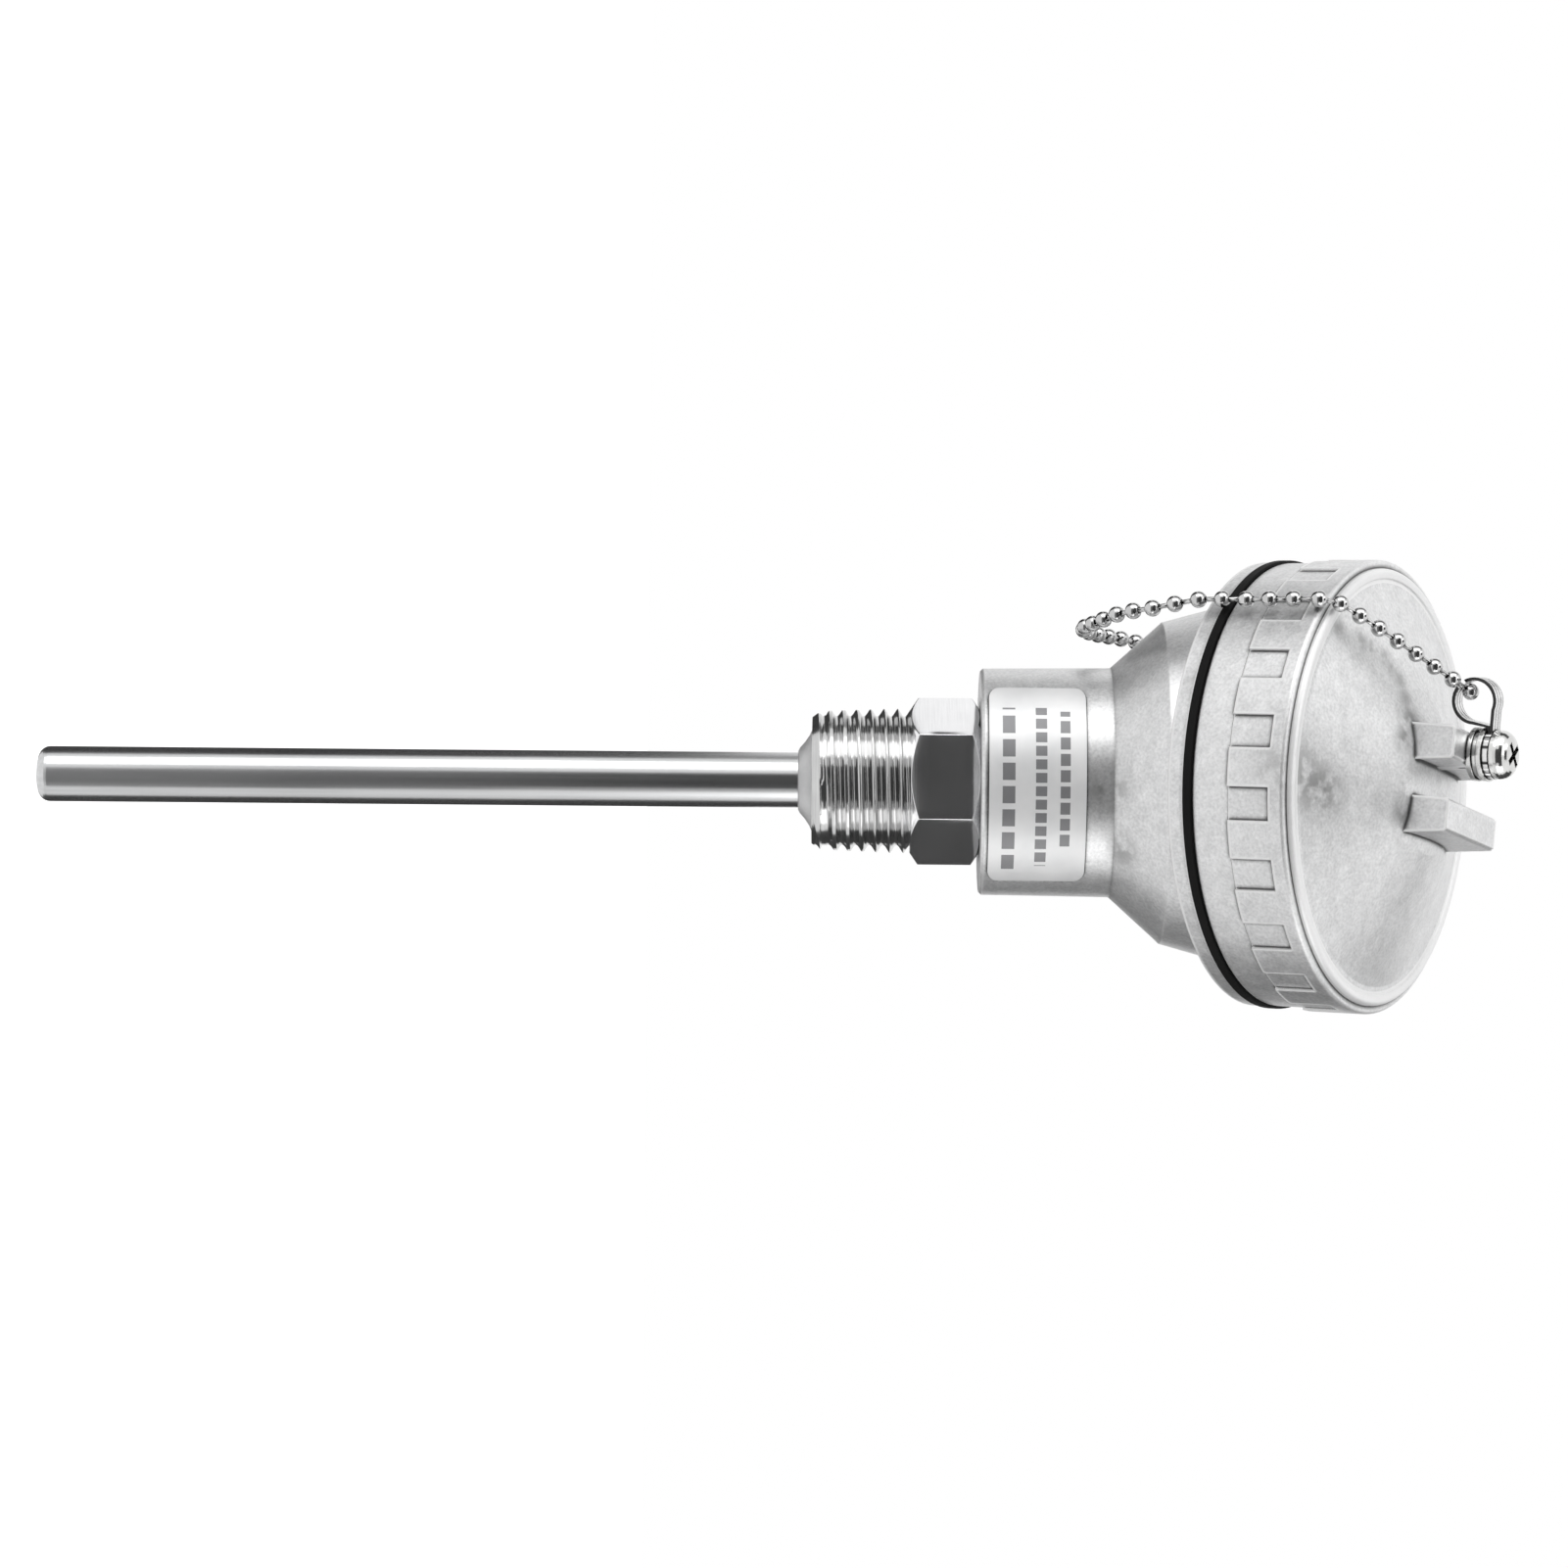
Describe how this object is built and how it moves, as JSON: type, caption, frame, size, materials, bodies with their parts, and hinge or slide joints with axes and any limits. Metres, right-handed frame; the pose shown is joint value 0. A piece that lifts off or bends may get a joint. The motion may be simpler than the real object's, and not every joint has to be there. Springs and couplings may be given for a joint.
{
  "type": "resistance thermometer probe with connection head",
  "caption": "Straight closed-tip temperature probe with a threaded hex fitting and an inclined screw-cap connection head, its cap held by a bead chain.",
  "frame": {"origin": "on the stem's axis at the lower face of the hexagon, where the process thread ends", "axes": "+Z along the stem towards the connection head; the cap leans towards -Y and the cable entry points along +Y"},
  "size_m": [0.065, 0.0823, 0.2125],
  "materials": {
    "satin_steel": "satin tube",
    "fitting_steel": "turned steel",
    "painted_alloy": "satin silver paint on cast aluminium",
    "foil": "blank foil",
    "black_rubber": "matte",
    "bright_zinc": "bright plated steel",
    "brass": "turned brass",
    "white_ceramic": "fired, unglazed",
    "lead_wire": "tinned wire"
  },
  "bodies": {
    "probe": {"protection_tube": "satin_steel", "sensing_element": "white_ceramic", "insulator_rod": "white_ceramic", "lead_wires": "lead_wire", "process_fitting": "fitting_steel", "head_body": "painted_alloy", "neck_label": "foil", "terminal_base": "white_ceramic", "terminal_clamps": "brass", "terminal_screws": "bright_zinc", "base_screws": "bright_zinc", "base_springs": "satin_steel", "earth_screw": "brass", "earth_washer": "brass", "gland_grommet": "black_rubber", "chain_beads": "bright_zinc", "chain_links": "bright_zinc", "anchor_clip": "bright_zinc", "anchor_washer": "bright_zinc", "anchor_screw": "bright_zinc"},
    "cap_seal": {"cap_gasket": "black_rubber"},
    "screw_cap": {"cap": "painted_alloy", "cap_screw": "bright_zinc", "cap_washers": "bright_zinc", "cap_spring_washer": "bright_zinc", "cap_clip": "bright_zinc"},
    "gland_ring": {"gland_washer": "bright_zinc"},
    "gland_screw": {"gland_nut": "painted_alloy"}
  },
  "joints": [
    {"name": "cap_lift", "type": "slide", "parent": "probe", "child": "cap_seal", "axis": [0, -0.5, 0.866], "range_m": [0, 0.008], "deforming": ["chain_beads", "chain_links"]},
    {"name": "cap_turn", "type": "hinge", "parent": "cap_seal", "child": "screw_cap", "pos_m": [0, 0, 0.0515], "axis": [0, -0.5, 0.866], "range_deg": [0, 1440], "deforming": ["chain_beads", "chain_links"]},
    {"name": "gland_back", "type": "slide", "parent": "probe", "child": "gland_ring", "axis": [0, 1, 0], "range_m": [0, 0.003]},
    {"name": "gland_turn", "type": "hinge", "parent": "gland_ring", "child": "gland_screw", "pos_m": [0, 0.038, 0.0465], "axis": [0, 1, 0], "range_deg": [0, 720]}
  ],
  "couplings": [
    {"joint": "cap_lift", "follows": "cap_turn", "m_per_rad": 0.0003183},
    {"joint": "gland_back", "follows": "gland_turn", "m_per_rad": 0.0002387}
  ]
}
